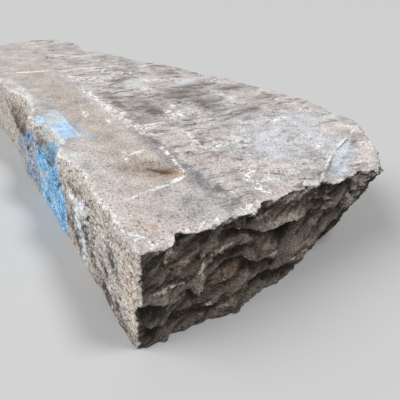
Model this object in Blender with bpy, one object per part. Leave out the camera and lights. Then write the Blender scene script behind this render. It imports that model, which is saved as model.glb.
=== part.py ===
"""Bluestone step: one quarried and split slab, with a dressed riser, a worn tread and broken ends and back.

The origin is under the middle of the slab, on the ground. +X points to the near end, +Y from the
riser to the back, and +Z up. The outlines are written as a mason would tape them: "along" is the
distance from the near end, and "back" the distance behind the riser's plane.
"""

import bmesh
import bpy
import numpy as np
from mathutils import Vector, noise

NODE = "bluestone_step"

# Driving dimensions, in metres.
RISE = 0.180
WORKING_VOXEL = 0.005
SOLID_TRIANGLES = 9400
# A vertex this near the tread's or the bed's level is laid exactly on it.
LEVELLING = 0.0004

STONE_COLOUR = (0.36, 0.34, 0.32, 1.0)
STONE_ROUGHNESS = 0.9

# The walls run on from one another, anticlockwise from above. Each station of a wall is a plumb or
# leaning line, given as (tread along, tread back, bed along, bed back).
# "spalls" is the depth of the broad flat facets that the split left, "scales" that of the small ones,
# "grain" that of the finer roughness, and "climb" how steeply the grain rises towards the back.
WALLS = {
    "near_end": {
        "outward": (1.0, 0.0),
        "spalls": 0.005,
        "scales": 0.002,
        "grain": 0.010,
        "climb": 0.45,
        "stations": [
            (0.000, 0.005, 0.013, 0.005),
            (0.001, 0.032, 0.010, 0.040),
            (0.012, 0.052, 0.014, 0.060),
            (0.014, 0.120, 0.014, 0.115),
            (0.018, 0.170, 0.003, 0.165),
            (0.024, 0.205, 0.016, 0.200),
            (0.021, 0.270, 0.022, 0.265),
            (0.026, 0.335, 0.040, 0.335),
            (0.037, 0.390, 0.060, 0.390),
            (0.040, 0.432, 0.072, 0.430),
            (0.015, 0.461, 0.080, 0.458),
        ],
    },
    "near_corner": {
        "outward": (0.68, 0.73),
        "spalls": 0.006,
        "scales": 0.005,
        "grain": 0.006,
        "climb": 0.2,
        "stations": [
            (0.028, 0.494, 0.088, 0.492),
            (0.068, 0.535, 0.106, 0.517),
            (0.105, 0.564, 0.133, 0.537),
            (0.155, 0.595, 0.180, 0.555),
            (0.196, 0.624, 0.225, 0.575),
        ],
    },
    "back": {
        "outward": (-0.31, 0.95),
        "spalls": 0.014,
        "scales": 0.007,
        "grain": 0.006,
        "climb": 0.0,
        "stations": [
            (0.224, 0.633, 0.265, 0.590),
            (0.240, 0.619, 0.290, 0.582),
            (0.352, 0.631, 0.352, 0.592),
            (0.416, 0.623, 0.416, 0.580),
            (0.461, 0.601, 0.470, 0.555),
            (0.608, 0.565, 0.610, 0.525),
            (0.658, 0.527, 0.660, 0.485),
            (0.820, 0.481, 0.820, 0.430),
            (0.882, 0.424, 0.890, 0.385),
            (0.922, 0.413, 0.930, 0.372),
            (1.068, 0.350, 1.068, 0.310),
            (1.080, 0.312, 1.090, 0.285),
            (1.128, 0.318, 1.130, 0.290),
            (1.192, 0.336, 1.180, 0.296),
            (1.264, 0.295, 1.240, 0.262),
        ],
    },
    "far_end": {
        "outward": (-1.0, 0.0),
        "spalls": 0.012,
        "scales": 0.007,
        "grain": 0.006,
        "climb": 0.0,
        "stations": [
            (1.297, 0.271, 1.268, 0.235),
            (1.287, 0.192, 1.258, 0.190),
            (1.251, 0.083, 1.222, 0.090),
        ],
    },
    "riser": {
        "outward": (0.0, -1.0),
        "spalls": 0.003,
        "scales": 0.0015,
        "grain": 0.003,
        "climb": 0.0,
        "stations": [
            (1.236, 0.002, 1.206, 0.006),
            (0.950, -0.002, 0.950, 0.000),
            (0.790, -0.004, 0.790, 0.006),
            (0.610, -0.006, 0.610, -0.003),
            (0.400, -0.007, 0.400, 0.000),
            (0.240, -0.005, 0.240, 0.001),
            (0.140, 0.001, 0.138, 0.003),
            (0.060, 0.000, 0.075, 0.000),
            (0.004, 0.000, 0.017, 0.000),
        ],
    },
}

# Bedding ledges of the near end: how far the stone is undercut below each, how far down the
# undercut takes to die out, and the ledge's edge as (back, height).
NEAR_END_LEDGES = [
    (0.022, 0.024, [(0.028, 0.168), (0.055, 0.177), (0.150, 0.177), (0.200, 0.168)]),
    (0.018, 0.016, [(0.325, 0.174), (0.350, 0.177), (0.460, 0.176)]),
    (0.040, 0.038, [
        (-0.012, 0.100), (0.020, 0.092), (0.055, 0.084), (0.085, 0.092), (0.104, 0.120), (0.125, 0.128),
        (0.210, 0.128), (0.285, 0.132), (0.315, 0.137), (0.340, 0.152), (0.380, 0.168),
    ]),
    (0.034, 0.036, [(0.000, 0.046), (0.040, 0.043), (0.070, 0.060), (0.088, 0.078), (0.115, 0.090)]),
    (0.028, 0.022, [
        (0.085, 0.110), (0.108, 0.145), (0.125, 0.156), (0.155, 0.158), (0.200, 0.140), (0.235, 0.134),
        (0.290, 0.136),
    ]),
    (0.032, 0.030, [
        (0.090, 0.080), (0.120, 0.090), (0.145, 0.104), (0.168, 0.110), (0.185, 0.094), (0.205, 0.078),
        (0.260, 0.073), (0.300, 0.098), (0.350, 0.130),
    ]),
    (0.032, 0.026, [
        (0.150, 0.062), (0.200, 0.050), (0.240, 0.044), (0.275, 0.044), (0.310, 0.031), (0.355, 0.054),
        (0.400, 0.070), (0.450, 0.072),
    ]),
    (0.026, 0.020, [
        (0.100, 0.020), (0.118, 0.034), (0.140, 0.052), (0.160, 0.054), (0.185, 0.036), (0.210, 0.020),
    ]),
    (0.018, 0.018, [(0.310, 0.140), (0.350, 0.118), (0.400, 0.120), (0.460, 0.150)]),
]
# Grooves (and, with a negative depth, ribs) of the near end: depth, half width, and the middle line
# as (back, height).
NEAR_END_GROOVES = [
    (0.018, 0.009, [(0.062, 0.178), (0.046, 0.156), (0.036, 0.134)]),
    (0.006, 0.009, [(0.097, 0.092), (0.094, 0.066), (0.100, 0.046)]),
    (-0.008, 0.006, [(0.105, 0.096), (0.107, 0.058)]),
    (0.014, 0.018, [(0.335, 0.156), (0.300, 0.118), (0.268, 0.092)]),
    (-0.006, 0.020, [(0.220, 0.100), (0.190, 0.098)]),
    (-0.008, 0.022, [(0.300, 0.060), (0.340, 0.066)]),
    (-0.008, 0.014, [(0.150, 0.028), (0.156, 0.018)]),
]
LEDGE_TURN = 0.40
LEDGE_LIP = 0.010
LEDGE_LIP_REACH = 0.014
LEDGE_FOOT = 0.020
LEDGE_END_TAPER = 0.025
LEDGE_WAVE = 0.007
LEDGE_WAVE_LENGTH = 0.030

# How far in from a wall its relief still shifts the tread and the bed, and how widely two
# neighbouring walls' reliefs mix at the corner between them.
WALL_REACH = 0.070
CORNER_MIX = 0.018
LEAST_SHARE = 1e-9
SPALL_SIZE = 0.090
SCALE_SIZE = 0.028
FACET_FLATTENING = 0.45
# A facet's own random depth counts this much beside its tilt. The seed scale keeps neighbours unlike.
FACET_OWN_DEPTH = 0.8
FACET_SEED_SCALE = 9.0
GRAIN_SIZE = 0.035
GRAIN_DRAWING = 0.45
HIGHEST_RIDGE = 1.75
GRAIN_OCTAVES = 4

# The tread: broad worn hollows, flakes split off within convex outlines, and chips along its edges.
HOLLOW_SIZE = 0.22
HOLLOW_DEPTH = 0.004
HOLLOW_THRESHOLD = 0.12
HOLLOW_RANGE = 0.44
BED_HOLLOW_DEPTH = 0.008
# Each flake is (depth, width of the slope down to it, outline).
FLAKES = [
    (0.0040, 0.014, [(0.033, 0.332), (-0.030, 0.332), (-0.030, 0.680), (0.209, 0.680)]),
    (0.0080, 0.030, [(0.008, 0.420), (-0.030, 0.420), (-0.030, 0.600), (0.135, 0.600)]),
]
# Each chip is (along, back, half length, reach towards the back, depth). The last is a dip in the
# tread, away from its edge.
CHIPS = [
    (0.372, -0.010, 0.080, 0.026, 0.050),
    (0.405, -0.004, 0.036, 0.026, 0.016),
    (0.590, -0.012, 0.105, 0.032, 0.070),
    (0.210, -0.012, 0.085, 0.021, 0.036),
    (0.097, -0.010, 0.024, 0.014, 0.012),
    (0.172, 0.105, 0.045, 0.045, 0.002),
]
CHIP_STEEPNESS = 1.5
EDGE_WEAR_WIDTH = 0.012
EDGE_WEAR_DEPTH = 0.0025
# Heights are rounded to this before the stone is broken and worn, so that its flats come out level.
HEIGHT_ROUNDING = 0.0005


def smooth(values):
    """A smooth step from 0 at 0 to 1 at 1."""
    clipped = np.clip(values, 0.0, 1.0)
    return clipped * clipped * (3.0 - 2.0 * clipped)


def slab_block():
    """The plain slab: the tread's and the bed's outlines, bridged and capped."""
    stations = [s for wall in WALLS.values() for s in wall["stations"]]
    bm = bmesh.new()
    loops = []
    for first, height in ((0, RISE), (2, 0.0)):
        corners = [bm.verts.new((-s[first], s[first + 1], height)) for s in stations]
        loops.append([bm.edges.new((corners[i - 1], corners[i])) for i in range(len(corners))])
    bmesh.ops.bridge_loops(bm, edges=loops[0] + loops[1])
    for loop in loops:
        bmesh.ops.triangle_fill(bm, edges=loop, use_beauty=True)
    bmesh.ops.recalc_face_normals(bm, faces=bm.faces)
    mesh = bpy.data.meshes.new(NODE)
    bm.to_mesh(mesh)
    bm.free()
    return mesh


def wall_line(name, height):
    """A wall's stations at each given height, out to the next wall's first station."""
    names = list(WALLS)
    follower = names[(names.index(name) + 1) % len(names)]
    stations = np.array(WALLS[name]["stations"] + WALLS[follower]["stations"][:1])
    tread = stations[:, :2] * (-1.0, 1.0)
    bed = stations[:, 2:] * (-1.0, 1.0)
    share = (height / RISE)[:, None, None]
    return bed + (tread - bed) * share


def nearest_on_wall(name, points):
    """The nearest place on a wall at each point's own height, and how far away it is."""
    line = wall_line(name, points[:, 2])
    best = np.full(len(points), np.inf)
    foot = np.zeros((len(points), 2))
    for start, end in zip(range(line.shape[1] - 1), range(1, line.shape[1])):
        a, run = line[:, start], line[:, end] - line[:, start]
        share = ((points[:, :2] - a) * run).sum(axis=1) / (run * run).sum(axis=1)
        here = a + run * np.clip(share, 0.0, 1.0)[:, None]
        gap = np.linalg.norm(points[:, :2] - here, axis=1)
        closer = gap < best
        best[closer] = gap[closer]
        foot[closer] = here[closer]
    return foot, best


def facet(place, size):
    """The split's flat spalls: each cell of a scatter lies at its own depth and tilt, from 0 to 1."""
    scaled = Vector((place[0], place[1], place[2] / FACET_FLATTENING)) / size
    centre = noise.voronoi(scaled)[1][0]
    tilt = noise.cell_vector(centre * FACET_SEED_SCALE) - Vector((0.5, 0.5, 0.5))
    return min(max(0.5 + FACET_OWN_DEPTH * tilt.x + (scaled - centre).dot(tilt), 0.0), 1.0)


def drawn_out(place, climb):
    """The place squeezed, so that a pattern on it is drawn out along the way the break ran."""
    return Vector((place[0], place[1] * GRAIN_DRAWING, (place[2] - climb * place[1]) / FACET_FLATTENING))


def grain(place, climb):
    """The broken stone's finer roughness: 0 on its sharp little ridges, up to 1 between them."""
    scaled = drawn_out(place, climb) / GRAIN_SIZE
    ridges = noise.ridged_multi_fractal(scaled, 1.0, 2.0, GRAIN_OCTAVES, 1.0, 2.0)
    return min(max(1.0 - ridges / HIGHEST_RIDGE, 0.0), 1.0)


def distance_to_line(across, up, line):
    """How far each place on a wall is from a broken line on it."""
    best = np.full(len(across), np.inf)
    for (x0, y0), (x1, y1) in zip(line, line[1:]):
        run = (x1 - x0, y1 - y0)
        share = ((across - x0) * run[0] + (up - y0) * run[1]) / (run[0] ** 2 + run[1] ** 2)
        share = np.clip(share, 0.0, 1.0)
        best = np.minimum(best, np.hypot(across - x0 - share * run[0], up - y0 - share * run[1]))
    return best


def near_end_depth(back, height):
    """How far the near end is cut in by its bedding ledges and its grooves."""
    wave = np.array([noise.noise(Vector((b, h, 0.0)) / LEDGE_WAVE_LENGTH) for b, h in zip(back, height)])
    undercuts = np.zeros(len(back))
    lips = np.zeros(len(back))
    for undercut, fade, edge in NEAR_END_LEDGES:
        backs, heights = np.array(edge).T
        below = np.interp(back, backs, heights) + LEDGE_WAVE * wave - height
        ends = smooth(np.minimum(back - backs[0], backs[-1] - back) / LEDGE_END_TAPER)
        under = smooth(below / (undercut * LEDGE_TURN)) * np.exp(-np.maximum(below, 0.0) / fade)
        undercuts = np.maximum(undercuts, undercut * ends * under)
        lips = np.maximum(lips, ends * np.exp(-((below / LEDGE_LIP_REACH) ** 2)))
    grooves = np.zeros(len(back))
    for depth, half_width, line in NEAR_END_GROOVES:
        grooves += depth * np.exp(-((distance_to_line(back, height, line) / half_width) ** 2))
    return (undercuts - LEDGE_LIP * lips + grooves) * smooth(height / LEDGE_FOOT)


def wall_relief(name, places):
    """How far a wall is broken in from its stations, at each place on it."""
    wall = WALLS[name]
    spalls = np.array([facet(place, SPALL_SIZE) for place in places])
    flakes = np.array([facet(place, SCALE_SIZE) for place in places])
    rough = np.array([grain(place, wall["climb"]) for place in places])
    depth = wall["spalls"] * (spalls - 0.5) + wall["scales"] * (flakes - 0.5) + wall["grain"] * (rough - 0.5)
    if name == "near_end":
        depth += near_end_depth(places[:, 1], places[:, 2])
    return depth


def break_walls(points):
    """Move the points near the walls inward by the walls' relief. Also gives each point's inset."""
    shift = np.zeros((len(points), 2))
    weight = np.zeros(len(points))
    inset = np.full(len(points), np.inf)
    for name, wall in WALLS.items():
        foot, gap = nearest_on_wall(name, points)
        inset = np.minimum(inset, gap)
        share = np.exp(-((gap / CORNER_MIX) ** 2)) + LEAST_SHARE
        close = gap < WALL_REACH
        places = np.column_stack([foot, points[:, 2]])[close]
        depth = np.zeros(len(points))
        depth[close] = wall_relief(name, places)
        shift -= (share * depth)[:, None] * np.array(wall["outward"])
        weight += share
    fall = np.clip(1.0 - inset / WALL_REACH, 0.0, 1.0)
    moved = points.copy()
    moved[:, :2] += shift / weight[:, None] * fall[:, None]
    return moved, inset


def flake_drop(points):
    """How far the tread is lowered by the flakes that have split off it."""
    drop = np.zeros(len(points))
    for depth, slope_width, outline in FLAKES:
        inside = np.full(len(points), np.inf)
        corners = np.array(outline) * (-1.0, 1.0)
        for a, b in zip(corners, np.roll(corners, -1, axis=0)):
            run = (b - a) / np.linalg.norm(b - a)
            inside = np.minimum(inside, run[0] * (points[:, 1] - a[1]) - run[1] * (points[:, 0] - a[0]))
        drop += depth * smooth(inside / slope_width)
    return drop


def chip_drop(points):
    """How far the tread's edges are lowered by chips."""
    drop = np.zeros(len(points))
    for along, back, half_length, reach, depth in CHIPS:
        distance = np.hypot((points[:, 0] + along) / half_length, (points[:, 1] - back) / reach)
        drop = np.maximum(drop, depth * smooth(CHIP_STEEPNESS * (1.0 - distance)))
    return drop


def hollows(points, lift):
    """Broad worn hollows, from 0 to 1, that leave flat ground between them."""
    values = [noise.noise(Vector((x, y, lift)) / HOLLOW_SIZE) for x, y in points[:, :2]]
    return smooth((np.array(values) - HOLLOW_THRESHOLD) / HOLLOW_RANGE)


def wear_tread_and_bed(points, inset):
    """Squeeze the slab between the worn tread and the uneven bed."""
    wear = EDGE_WEAR_DEPTH * np.clip(1.0 - inset / EDGE_WEAR_WIDTH, 0.0, 1.0) ** 2
    tread = RISE - HOLLOW_DEPTH * hollows(points, 1.0) - flake_drop(points) - chip_drop(points) - wear
    bed = BED_HOLLOW_DEPTH * hollows(points, 3.0)
    worn = points.copy()
    worn[:, 2] = bed + (tread - bed) * points[:, 2] / RISE
    return worn


def stand_on_origin(points):
    """Put the middle of the slab's extent over the origin and its lowest point on the ground."""
    low, high = points.min(axis=0), points.max(axis=0)
    return points - ((low[0] + high[0]) / 2, (low[1] + high[1]) / 2, low[2])


def apply_modifier(stone, kind, **settings):
    """Add one modifier to the stone and turn its result into the stone's mesh."""
    modifier = stone.modifiers.new(kind, kind)
    for name, value in settings.items():
        setattr(modifier, name, value)
    evaluated = stone.evaluated_get(bpy.context.evaluated_depsgraph_get())
    mesh = bpy.data.meshes.new_from_object(evaluated)
    stone.modifiers.clear()
    stone.data = mesh


def sculpt(mesh):
    """Carry the stone's mesh from the plain slab to the broken and worn one."""
    flat = np.empty(3 * len(mesh.vertices), dtype=np.float32)
    mesh.vertices.foreach_get("co", flat)
    points = flat.reshape(-1, 3).astype(float)
    points[:, 2] = np.clip(np.round(points[:, 2] / HEIGHT_ROUNDING) * HEIGHT_ROUNDING, 0.0, RISE)
    points, inset = break_walls(points)
    points = stand_on_origin(wear_tread_and_bed(points, inset))
    mesh.vertices.foreach_set("co", points.astype(np.float32).ravel())
    mesh.update()


def lay_flats_level(mesh):
    """Bring the worn tread and the bed exactly level where the faceting left them a hair off."""
    for vertex in mesh.vertices:
        for level in (0.0, RISE):
            if abs(vertex.co.z - level) < LEVELLING:
                vertex.co.z = level


def stone_material():
    """Weathered grey-brown bluestone, bare of any sheen."""
    material = bpy.data.materials.new("bluestone")
    material.use_nodes = True
    shader = material.node_tree.nodes["Principled BSDF"]
    shader.inputs["Base Color"].default_value = STONE_COLOUR
    shader.inputs["Roughness"].default_value = STONE_ROUGHNESS
    shader.inputs["Metallic"].default_value = 0.0
    return material


def main():
    for leftover in list(bpy.data.objects):
        bpy.data.objects.remove(leftover, do_unlink=True)
    stone = bpy.data.objects.new(NODE, slab_block())
    bpy.context.scene.collection.objects.link(stone)
    apply_modifier(stone, "REMESH", mode="VOXEL", voxel_size=WORKING_VOXEL)
    sculpt(stone.data)
    faces = 2 * len(stone.data.polygons)
    apply_modifier(stone, "DECIMATE", ratio=SOLID_TRIANGLES / faces, use_collapse_triangulate=True)
    lay_flats_level(stone.data)
    stone.data.name = NODE
    stone.data.materials.clear()
    stone.data.materials.append(stone_material())


main()
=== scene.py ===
"""Bluestone step, dressed for the render: the solid's slab, broken and worn more finely, with its paint.

Places on the stone are written as a mason would tape them: "along" is the distance from the near
end, "back" the distance behind the riser's plane, and "height" the distance above the ground.
"""

import math
from types import SimpleNamespace

import bmesh
import bpy
import numpy as np
from mathutils import Matrix, Vector, noise


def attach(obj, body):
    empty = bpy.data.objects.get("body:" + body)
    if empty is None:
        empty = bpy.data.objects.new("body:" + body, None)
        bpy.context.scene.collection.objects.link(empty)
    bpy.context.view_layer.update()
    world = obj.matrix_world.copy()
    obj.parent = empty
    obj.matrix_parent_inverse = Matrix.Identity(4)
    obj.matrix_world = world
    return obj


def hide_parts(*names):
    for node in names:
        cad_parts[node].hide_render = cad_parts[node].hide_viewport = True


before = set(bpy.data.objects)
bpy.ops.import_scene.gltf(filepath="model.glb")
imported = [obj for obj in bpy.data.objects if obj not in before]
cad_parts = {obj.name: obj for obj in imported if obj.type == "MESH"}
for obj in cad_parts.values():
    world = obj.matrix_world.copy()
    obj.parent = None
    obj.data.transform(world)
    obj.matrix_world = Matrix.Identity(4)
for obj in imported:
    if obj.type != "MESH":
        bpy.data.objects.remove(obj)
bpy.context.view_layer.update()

NODE = "bluestone_step"
PIECE = "bluestone_step_stone"

# Driving dimensions, in metres, and the finished piece's number of triangles.
RISE = 0.180
WORKING_VOXEL = 0.0025
PIECE_TRIANGLES = 196000
# The taped zero, at the near end's corner with the riser, as seen from the row frame's origin.
TAPE_ZERO = (0.6478, -0.3141)

# The walls run on from one another, anticlockwise from above. Each station of a wall is a plumb or
# leaning line, given as (tread along, tread back, bed along, bed back).
# "spalls" is the depth of the broad flat facets that the split left, "scales" that of the small ones,
# "grain" that of the finer roughness, and "climb" how steeply the grain rises towards the back.
WALLS = {
    "near_end": {
        "outward": (1.0, 0.0),
        "spalls": 0.005, "scales": 0.002, "grain": 0.010, "climb": 0.45,
        "stations": [
            (0.000, 0.005, 0.013, 0.005), (0.001, 0.032, 0.010, 0.040), (0.012, 0.052, 0.014, 0.060),
            (0.014, 0.120, 0.014, 0.115), (0.018, 0.170, 0.003, 0.165), (0.024, 0.205, 0.016, 0.200),
            (0.021, 0.270, 0.022, 0.265), (0.026, 0.335, 0.040, 0.335), (0.037, 0.390, 0.060, 0.390),
            (0.040, 0.432, 0.072, 0.430), (0.015, 0.461, 0.080, 0.458),
        ],
    },
    "near_corner": {
        "outward": (0.68, 0.73),
        "spalls": 0.006, "scales": 0.005, "grain": 0.006, "climb": 0.2,
        "stations": [
            (0.028, 0.494, 0.088, 0.492), (0.068, 0.535, 0.106, 0.517), (0.105, 0.564, 0.133, 0.537),
            (0.155, 0.595, 0.180, 0.555), (0.196, 0.624, 0.225, 0.575),
        ],
    },
    "back": {
        "outward": (-0.31, 0.95),
        "spalls": 0.014, "scales": 0.007, "grain": 0.006, "climb": 0.0,
        "stations": [
            (0.224, 0.633, 0.265, 0.590), (0.240, 0.619, 0.290, 0.582), (0.352, 0.631, 0.352, 0.592),
            (0.416, 0.623, 0.416, 0.580), (0.461, 0.601, 0.470, 0.555), (0.608, 0.565, 0.610, 0.525),
            (0.658, 0.527, 0.660, 0.485), (0.820, 0.481, 0.820, 0.430), (0.882, 0.424, 0.890, 0.385),
            (0.922, 0.413, 0.930, 0.372), (1.068, 0.350, 1.068, 0.310), (1.080, 0.312, 1.090, 0.285),
            (1.128, 0.318, 1.130, 0.290), (1.192, 0.336, 1.180, 0.296), (1.264, 0.295, 1.240, 0.262),
        ],
    },
    "far_end": {
        "outward": (-1.0, 0.0),
        "spalls": 0.012, "scales": 0.007, "grain": 0.006, "climb": 0.0,
        "stations": [
            (1.297, 0.271, 1.268, 0.235), (1.287, 0.192, 1.258, 0.190), (1.251, 0.083, 1.222, 0.090),
        ],
    },
    "riser": {
        "outward": (0.0, -1.0),
        "spalls": 0.003, "scales": 0.0015, "grain": 0.003, "climb": 0.0,
        "stations": [
            (1.236, 0.002, 1.206, 0.006), (0.950, -0.002, 0.950, 0.000), (0.790, -0.004, 0.790, 0.006),
            (0.610, -0.006, 0.610, -0.003), (0.400, -0.007, 0.400, 0.000), (0.240, -0.005, 0.240, 0.001),
            (0.140, 0.001, 0.138, 0.003), (0.060, 0.000, 0.075, 0.000), (0.004, 0.000, 0.017, 0.000),
        ],
    },
}

# Bedding ledges of the near end: how far the stone is undercut below each, how far down the
# undercut takes to die out, and the ledge's edge as (back, height).
NEAR_END_LEDGES = [
    (0.022, 0.024, [(0.028, 0.168), (0.055, 0.177), (0.150, 0.177), (0.200, 0.168)]),
    (0.018, 0.016, [(0.325, 0.174), (0.350, 0.177), (0.460, 0.176)]),
    (0.040, 0.038, [
        (-0.012, 0.100), (0.020, 0.092), (0.055, 0.084), (0.085, 0.092), (0.104, 0.120), (0.125, 0.128),
        (0.210, 0.128), (0.285, 0.132), (0.315, 0.137), (0.340, 0.152), (0.380, 0.168),
    ]),
    (0.034, 0.036, [(0.000, 0.046), (0.040, 0.043), (0.070, 0.060), (0.088, 0.078), (0.115, 0.090)]),
    (0.028, 0.022, [
        (0.085, 0.110), (0.108, 0.145), (0.125, 0.156), (0.155, 0.158), (0.200, 0.140), (0.235, 0.134),
        (0.290, 0.136),
    ]),
    (0.032, 0.030, [
        (0.090, 0.080), (0.120, 0.090), (0.145, 0.104), (0.168, 0.110), (0.185, 0.094), (0.205, 0.078),
        (0.260, 0.073), (0.300, 0.098), (0.350, 0.130),
    ]),
    (0.032, 0.026, [
        (0.150, 0.062), (0.200, 0.050), (0.240, 0.044), (0.275, 0.044), (0.310, 0.031), (0.355, 0.054),
        (0.400, 0.070), (0.450, 0.072),
    ]),
    (0.026, 0.020, [
        (0.100, 0.020), (0.118, 0.034), (0.140, 0.052), (0.160, 0.054), (0.185, 0.036), (0.210, 0.020),
    ]),
    (0.018, 0.018, [(0.310, 0.140), (0.350, 0.118), (0.400, 0.120), (0.460, 0.150)]),
]
# Grooves (and, with a negative depth, ribs) of the near end: depth, half width, and the middle line
# as (back, height).
NEAR_END_GROOVES = [
    (0.018, 0.009, [(0.062, 0.178), (0.046, 0.156), (0.036, 0.134)]),
    (0.006, 0.009, [(0.097, 0.092), (0.094, 0.066), (0.100, 0.046)]),
    (-0.008, 0.006, [(0.105, 0.096), (0.107, 0.058)]),
    (0.014, 0.018, [(0.335, 0.156), (0.300, 0.118), (0.268, 0.092)]),
    (-0.006, 0.020, [(0.220, 0.100), (0.190, 0.098)]),
    (-0.008, 0.022, [(0.300, 0.060), (0.340, 0.066)]),
    (-0.008, 0.014, [(0.150, 0.028), (0.156, 0.018)]),
]
LEDGE_TURN = 0.40
LEDGE_LIP = 0.010
LEDGE_LIP_REACH = 0.014
LEDGE_FOOT = 0.020
LEDGE_END_TAPER = 0.025
LEDGE_WAVE = 0.007
LEDGE_WAVE_LENGTH = 0.030

# How far in from a wall its relief still shifts the tread and the bed, and how widely two
# neighbouring walls' reliefs mix at the corner between them.
WALL_REACH = 0.070
CORNER_MIX = 0.018
LEAST_SHARE = 1e-9
SPALL_SIZE = 0.090
SCALE_SIZE = 0.028
FACET_FLATTENING = 0.45
# A facet's own random depth counts this much beside its tilt. The seed scale keeps neighbours unlike.
FACET_OWN_DEPTH = 0.8
FACET_SEED_SCALE = 9.0
GRAIN_SIZE = 0.035
GRAIN_DRAWING = 0.45
HIGHEST_RIDGE = 1.75
GRAIN_OCTAVES = 5

# The tread: broad worn hollows, flakes split off within convex outlines, and chips along its edges.
HOLLOW_SIZE = 0.22
HOLLOW_DEPTH = 0.004
HOLLOW_THRESHOLD = 0.12
HOLLOW_RANGE = 0.44
BED_HOLLOW_DEPTH = 0.008
# Each flake is (depth, width of the slope down to it, outline).
FLAKES = [
    (0.0040, 0.014, [(0.033, 0.332), (-0.030, 0.332), (-0.030, 0.680), (0.209, 0.680)]),
    (0.0080, 0.030, [(0.008, 0.420), (-0.030, 0.420), (-0.030, 0.600), (0.135, 0.600)]),
]
# Each chip is (along, back, half length, reach towards the back, depth). The last is a dip in the
# tread, away from its edge.
CHIPS = [
    (0.372, -0.010, 0.080, 0.026, 0.050),
    (0.405, -0.004, 0.036, 0.026, 0.016),
    (0.590, -0.012, 0.105, 0.032, 0.070),
    (0.210, -0.012, 0.085, 0.021, 0.036),
    (0.097, -0.010, 0.024, 0.014, 0.012),
    (0.172, 0.105, 0.045, 0.045, 0.002),
]
CHIP_STEEPNESS = 1.5
EDGE_WEAR_WIDTH = 0.012
EDGE_WEAR_DEPTH = 0.0025
# Heights are rounded to this before the stone is broken and worn, so that its flats come out level.
HEIGHT_ROUNDING = 0.0005

# The finest roughness, pitted into the surface everywhere but on the bed: (size of its pits, depth).
CRUMB = [(0.012, 0.0024), (0.005, 0.0014)]
CRUMB_CONTRAST = 0.8
TREAD_CRUMB_SHARE = 0.25
# Where the surface counts as tread or as bed, by the upright part of its normal: (start, width).
TREAD_SLOPE = (0.7, 0.25)
BED_SLOPE = (0.9, 0.1)

# What the paint is told about the shape. The near end starts here in the row frame's x, a crest is
# measured against so many rings of neighbours, and a chip shows its own colour where it is deep and
# where the stone isn't far under its floor. The pairs are (start, width).
NEAR_END_START = (0.5, 0.06)
CREST_RINGS = 12
CHIP_DEEP = (0.012, 0.016)
CHIP_UNDERCUT = (0.004, 0.010)


def smooth(values):
    """A smooth step from 0 at 0 to 1 at 1."""
    clipped = np.clip(values, 0.0, 1.0)
    return clipped * clipped * (3.0 - 2.0 * clipped)


def ramp(values, start, width):
    """A smooth step from 0 at the start to 1 at a width beyond it."""
    return smooth((values - start) / width)


def slab_block():
    """The plain slab: the tread's and the bed's outlines, bridged and capped."""
    stations = [s for wall in WALLS.values() for s in wall["stations"]]
    bm = bmesh.new()
    loops = []
    for first, height in ((0, RISE), (2, 0.0)):
        corners = [bm.verts.new((-s[first], s[first + 1], height)) for s in stations]
        loops.append([bm.edges.new((corners[i - 1], corners[i])) for i in range(len(corners))])
    bmesh.ops.bridge_loops(bm, edges=loops[0] + loops[1])
    for loop in loops:
        bmesh.ops.triangle_fill(bm, edges=loop, use_beauty=True)
    bmesh.ops.recalc_face_normals(bm, faces=bm.faces)
    mesh = bpy.data.meshes.new(PIECE)
    bm.to_mesh(mesh)
    bm.free()
    return mesh


def wall_line(name, height):
    """A wall's stations at each given height, out to the next wall's first station."""
    names = list(WALLS)
    follower = names[(names.index(name) + 1) % len(names)]
    stations = np.array(WALLS[name]["stations"] + WALLS[follower]["stations"][:1])
    tread = stations[:, :2] * (-1.0, 1.0)
    bed = stations[:, 2:] * (-1.0, 1.0)
    share = (height / RISE)[:, None, None]
    return bed + (tread - bed) * share


def nearest_on_wall(name, points):
    """The nearest place on a wall at each point's own height, and how far away it is."""
    line = wall_line(name, points[:, 2])
    best = np.full(len(points), np.inf)
    foot = np.zeros((len(points), 2))
    for start, end in zip(range(line.shape[1] - 1), range(1, line.shape[1])):
        a, run = line[:, start], line[:, end] - line[:, start]
        share = ((points[:, :2] - a) * run).sum(axis=1) / (run * run).sum(axis=1)
        here = a + run * np.clip(share, 0.0, 1.0)[:, None]
        gap = np.linalg.norm(points[:, :2] - here, axis=1)
        closer = gap < best
        best[closer] = gap[closer]
        foot[closer] = here[closer]
    return foot, best


def facet(place, size):
    """The split's flat spalls: each cell of a scatter lies at its own depth and tilt, from 0 to 1."""
    scaled = Vector((place[0], place[1], place[2] / FACET_FLATTENING)) / size
    centre = noise.voronoi(scaled)[1][0]
    tilt = noise.cell_vector(centre * FACET_SEED_SCALE) - Vector((0.5, 0.5, 0.5))
    return min(max(0.5 + FACET_OWN_DEPTH * tilt.x + (scaled - centre).dot(tilt), 0.0), 1.0)


def drawn_out(place, climb):
    """The place squeezed, so that a pattern on it is drawn out along the way the break ran."""
    return Vector((place[0], place[1] * GRAIN_DRAWING, (place[2] - climb * place[1]) / FACET_FLATTENING))


def grain(place, climb):
    """The broken stone's finer roughness: 0 on its sharp little ridges, up to 1 between them."""
    scaled = drawn_out(place, climb) / GRAIN_SIZE
    ridges = noise.ridged_multi_fractal(scaled, 1.0, 2.0, GRAIN_OCTAVES, 1.0, 2.0)
    return min(max(1.0 - ridges / HIGHEST_RIDGE, 0.0), 1.0)


def distance_to_line(across, up, line):
    """How far each place on a wall is from a broken line on it."""
    best = np.full(len(across), np.inf)
    for (x0, y0), (x1, y1) in zip(line, line[1:]):
        run = (x1 - x0, y1 - y0)
        share = ((across - x0) * run[0] + (up - y0) * run[1]) / (run[0] ** 2 + run[1] ** 2)
        share = np.clip(share, 0.0, 1.0)
        best = np.minimum(best, np.hypot(across - x0 - share * run[0], up - y0 - share * run[1]))
    return best


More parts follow.
